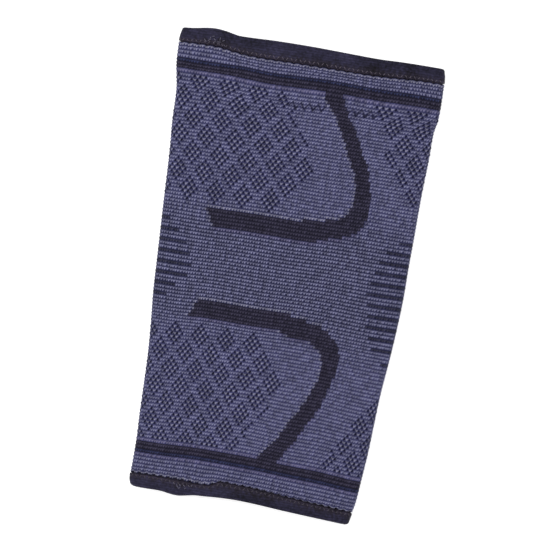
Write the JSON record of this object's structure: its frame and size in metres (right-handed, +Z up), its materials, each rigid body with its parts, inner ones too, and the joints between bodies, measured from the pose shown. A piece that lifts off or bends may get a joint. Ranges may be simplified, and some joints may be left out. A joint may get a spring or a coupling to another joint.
{
  "type": "elbow support",
  "caption": "Knitted elbow compression sleeve lying flat: a hollow tapered tube with support bands knitted in and elastic tape sewn round each open mouth.",
  "frame": {"origin": "middle of the underside, on the surface that the sleeve lies on", "axes": "+Y along the arm towards the wide upper-arm mouth, +X to the right seen from above, +Z up"},
  "size_m": [0.1322, 0.2296, 0.0148],
  "materials": {
    "knit": "heather blue-grey ribbed knit with black stripes, support bands, lattice and side dashes knitted in",
    "binding": "smooth near-black woven elastic tape with a faint blue sheen"
  },
  "bodies": {
    "root": {"knit_sleeve": "knit", "upper_binding": "binding", "lower_binding": "binding"}
  },
  "joints": []
}
